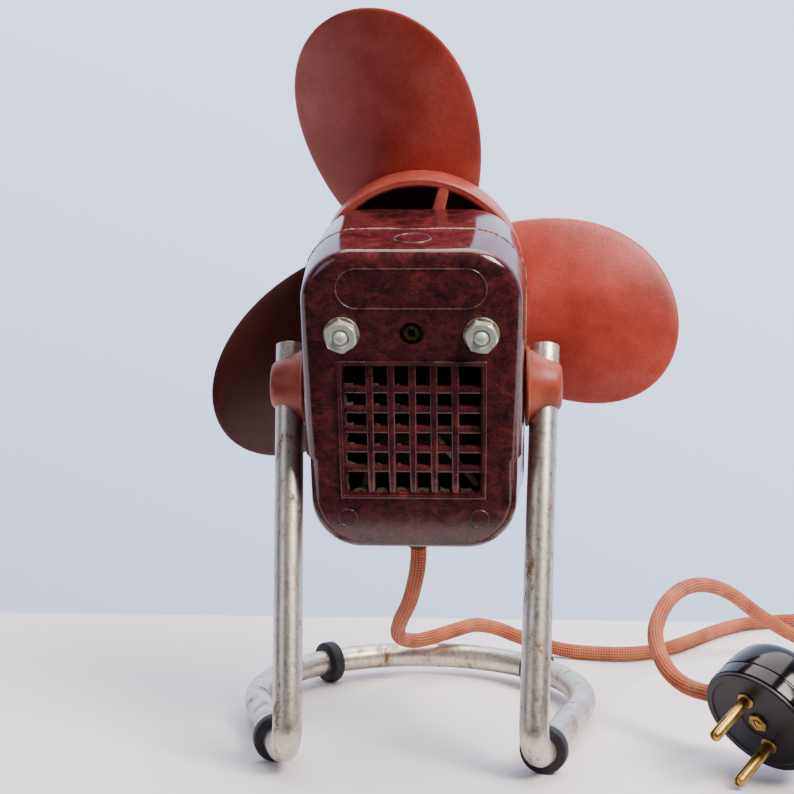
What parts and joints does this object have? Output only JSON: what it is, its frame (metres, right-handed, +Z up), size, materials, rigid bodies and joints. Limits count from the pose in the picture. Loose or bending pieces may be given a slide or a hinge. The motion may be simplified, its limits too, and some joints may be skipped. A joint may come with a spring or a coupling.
{
  "type": "desk fan",
  "caption": "Small desk fan: moulded motor housing that tilts between the ends of a bent tube stand on rubber bushes, soft bladed impeller, braided cord with a round plug.",
  "frame": {"origin": "on the floor straight below the middle of the tilt axis", "axes": "+Z up, +Y the way the fan blows, +X to the right seen from behind the fan"},
  "size_m": [0.3354, 0.2492, 0.2609],
  "materials": {
    "nickel_tube": "satin, aged",
    "floor_rubber": "matt",
    "bush_rubber": "matt",
    "bakelite": "gloss, mottled",
    "seal_fibre": "matt",
    "zinc_steel": "dull zinc",
    "brass": "dull",
    "bronze": "sintered, matt",
    "plain_steel": "ground",
    "lamination_steel": "matt",
    "copper": "bare copper",
    "coil_former": "matt",
    "enamelled_wire": "varnished tape",
    "lead_sleeve": "varnished",
    "felt": "oiled",
    "rotor_steel": "turned",
    "rotor_aluminium": "cast",
    "fibre": "matt",
    "blade_rubber": "matt",
    "grommet_rubber": "matt",
    "terminal_plastic": "gloss",
    "cord_braid": "woven",
    "tie_tape": "woven",
    "plug_plastic": "gloss"
  },
  "bodies": {
    "stand": {"stand_tube": "nickel_tube", "foot_rings": "floor_rubber", "right_trunnion_bush": "bush_rubber", "left_trunnion_bush": "bush_rubber", "cord_drop": "cord_braid", "cord_far_run": "cord_braid", "cord_near_run": "cord_braid", "cord_coil": "cord_braid", "cord_tie": "tie_tape", "plug_body": "plug_plastic", "plug_cover": "plug_plastic", "plug_pins": "brass", "plug_screw": "brass"},
    "head": {"rear_shell": "bakelite", "front_shell": "bakelite", "shell_seal": "seal_fibre", "clamp_studs": "zinc_steel", "stud_inserts": "brass", "stud_sleeves": "plain_steel", "clamp_washers": "zinc_steel", "clamp_nuts": "zinc_steel", "stator_core": "lamination_steel", "shading_rings": "copper", "coil_bobbin": "coil_former", "coil_winding": "enamelled_wire", "coil_leads": "lead_sleeve", "rear_bracket": "plain_steel", "front_bracket": "plain_steel", "rear_bearing": "bronze", "front_bearing": "bronze", "bearing_felts": "felt", "oil_tube": "brass", "terminal_block": "terminal_plastic", "terminal_screws": "brass", "supply_leads": "lead_sleeve", "cord_grommet": "grommet_rubber"},
    "fan_rotor": {"rotor": "rotor_steel", "rotor_end_rings": "rotor_aluminium", "motor_shaft": "plain_steel", "thrust_washers": "fibre", "impeller": "blade_rubber", "impeller_bush": "brass", "impeller_nut": "brass"}
  },
  "joints": [
    {"name": "head_tilt", "type": "hinge", "parent": "stand", "child": "head", "pos_m": [0, 0, 0.1285], "axis": [1, 0, 0], "range_deg": [-30, 35], "deforming": ["cord_drop"]},
    {"name": "impeller_spin", "type": "hinge", "parent": "head", "child": "fan_rotor", "pos_m": [0, -0.00794, 0.15618], "axis": [0, 0.9613, 0.2756], "continuous": true}
  ]
}
